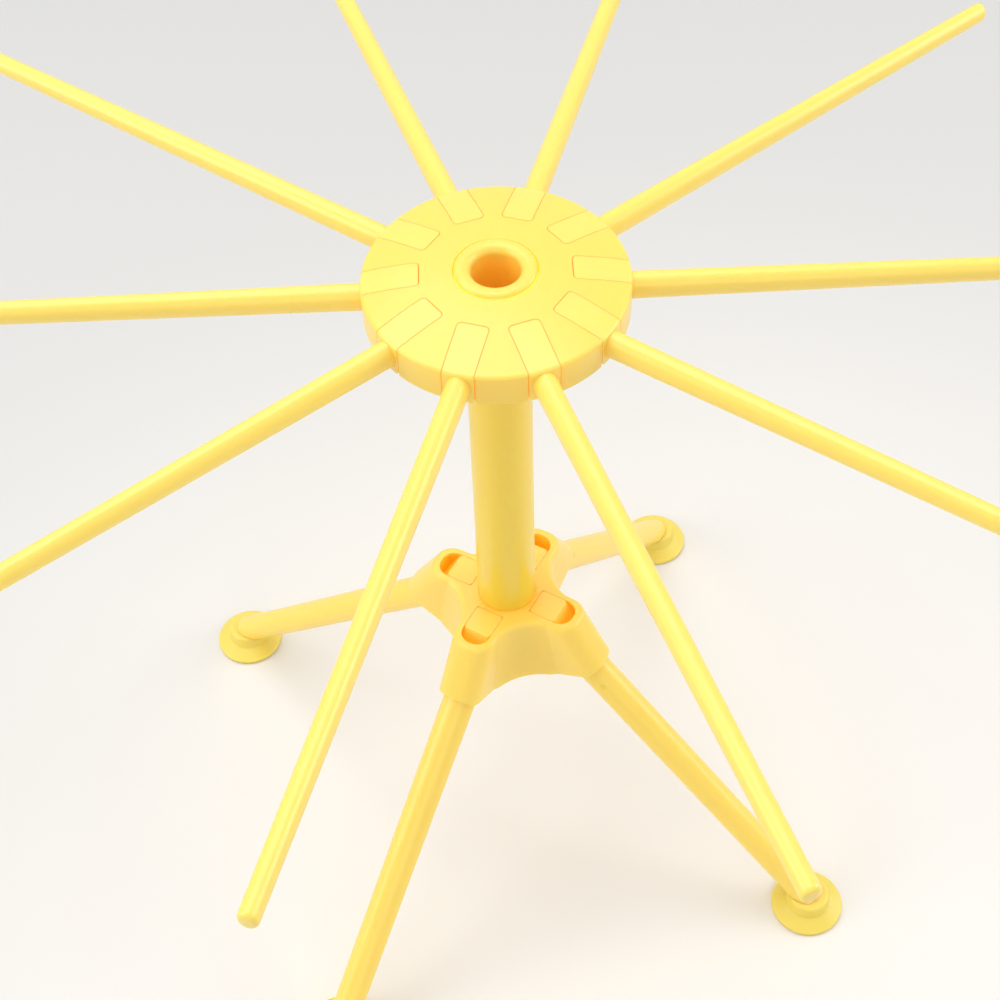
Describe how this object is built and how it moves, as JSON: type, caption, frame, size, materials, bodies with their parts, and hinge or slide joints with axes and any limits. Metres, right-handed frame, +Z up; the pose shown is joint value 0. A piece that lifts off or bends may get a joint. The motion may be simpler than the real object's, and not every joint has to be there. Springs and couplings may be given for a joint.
{
  "type": "pasta drying rack",
  "caption": "Collapsible pasta drying rack: radiating rods hinged in a turning disc hub on a hollow post, with a hooded base and folding splayed legs on disc feet.",
  "frame": {"origin": "on the floor, under the axis of the post", "axes": "+Z up along the post, +X along arm 1 (the widest extent, from arm 6's tip to arm 1's tip), +Y towards the back; the pictured front is -Y"},
  "size_m": [0.43, 0.41, 0.2938],
  "materials": {
    "yellow_plastic": "satin gloss moulded",
    "foot_rubber": "soft matte",
    "steel": "zinc plated"
  },
  "bodies": {
    "stand": {"post": "yellow_plastic", "crown_ring": "yellow_plastic", "base_hub": "yellow_plastic", "base_cover": "yellow_plastic", "base_screws": "steel"},
    "hub": {"hub_body": "yellow_plastic", "hub_retainer": "yellow_plastic", "hub_screws": "steel"},
    "arm_1": {"arm_1": "yellow_plastic"},
    "arm_2": {"arm_2": "yellow_plastic"},
    "arm_3": {"arm_3": "yellow_plastic"},
    "arm_4": {"arm_4": "yellow_plastic"},
    "arm_5": {"arm_5": "yellow_plastic"},
    "arm_6": {"arm_6": "yellow_plastic"},
    "arm_7": {"arm_7": "yellow_plastic"},
    "arm_8": {"arm_8": "yellow_plastic"},
    "arm_9": {"arm_9": "yellow_plastic"},
    "arm_10": {"arm_10": "yellow_plastic"},
    "leg_1": {"leg_1": "yellow_plastic", "foot_1": "foot_rubber"},
    "leg_2": {"leg_2": "yellow_plastic", "foot_2": "foot_rubber"},
    "leg_3": {"leg_3": "yellow_plastic", "foot_3": "foot_rubber"},
    "leg_4": {"leg_4": "yellow_plastic", "foot_4": "foot_rubber"}
  },
  "joints": [
    {"name": "hub_turn", "type": "hinge", "parent": "stand", "child": "hub", "pos_m": [0, 0, 0.2834], "axis": [0, 0, 1], "continuous": true},
    {"name": "arm_1_fold", "type": "hinge", "parent": "hub", "child": "arm_1", "pos_m": [0.0288, 0, 0.2834], "axis": [0, 1, 0], "range_deg": [0, 80]},
    {"name": "arm_2_fold", "type": "hinge", "parent": "hub", "child": "arm_2", "pos_m": [0.0233, 0.01693, 0.2834], "axis": [-0.5878, 0.809, 0], "range_deg": [0, 80]},
    {"name": "arm_3_fold", "type": "hinge", "parent": "hub", "child": "arm_3", "pos_m": [0.0089, 0.02739, 0.2834], "axis": [-0.9511, 0.309, 0], "range_deg": [0, 80]},
    {"name": "arm_4_fold", "type": "hinge", "parent": "hub", "child": "arm_4", "pos_m": [-0.0089, 0.02739, 0.2834], "axis": [-0.9511, -0.309, 0], "range_deg": [0, 80]},
    {"name": "arm_5_fold", "type": "hinge", "parent": "hub", "child": "arm_5", "pos_m": [-0.0233, 0.01693, 0.2834], "axis": [-0.5878, -0.809, 0], "range_deg": [0, 80]},
    {"name": "arm_6_fold", "type": "hinge", "parent": "hub", "child": "arm_6", "pos_m": [-0.0288, 0, 0.2834], "axis": [0, -1, 0], "range_deg": [0, 80]},
    {"name": "arm_7_fold", "type": "hinge", "parent": "hub", "child": "arm_7", "pos_m": [-0.0233, -0.01693, 0.2834], "axis": [0.5878, -0.809, 0], "range_deg": [0, 80]},
    {"name": "arm_8_fold", "type": "hinge", "parent": "hub", "child": "arm_8", "pos_m": [-0.0089, -0.02739, 0.2834], "axis": [0.9511, -0.309, 0], "range_deg": [0, 80]},
    {"name": "arm_9_fold", "type": "hinge", "parent": "hub", "child": "arm_9", "pos_m": [0.0089, -0.02739, 0.2834], "axis": [0.9511, 0.309, 0], "range_deg": [0, 80]},
    {"name": "arm_10_fold", "type": "hinge", "parent": "hub", "child": "arm_10", "pos_m": [0.0233, -0.01693, 0.2834], "axis": [0.5878, 0.809, 0], "range_deg": [0, 80]},
    {"name": "leg_1_fold", "type": "hinge", "parent": "stand", "child": "leg_1", "pos_m": [0.00975, 0.01584, 0.12045], "axis": [-0.8517, 0.524, 0], "range_deg": [0, 44]},
    {"name": "leg_2_fold", "type": "hinge", "parent": "stand", "child": "leg_2", "pos_m": [-0.01584, 0.00975, 0.12045], "axis": [-0.524, -0.8517, 0], "range_deg": [0, 44]},
    {"name": "leg_3_fold", "type": "hinge", "parent": "stand", "child": "leg_3", "pos_m": [-0.00975, -0.01584, 0.12045], "axis": [0.8517, -0.524, 0], "range_deg": [0, 44]},
    {"name": "leg_4_fold", "type": "hinge", "parent": "stand", "child": "leg_4", "pos_m": [0.01584, -0.00975, 0.12045], "axis": [0.524, 0.8517, 0], "range_deg": [0, 44]}
  ]
}
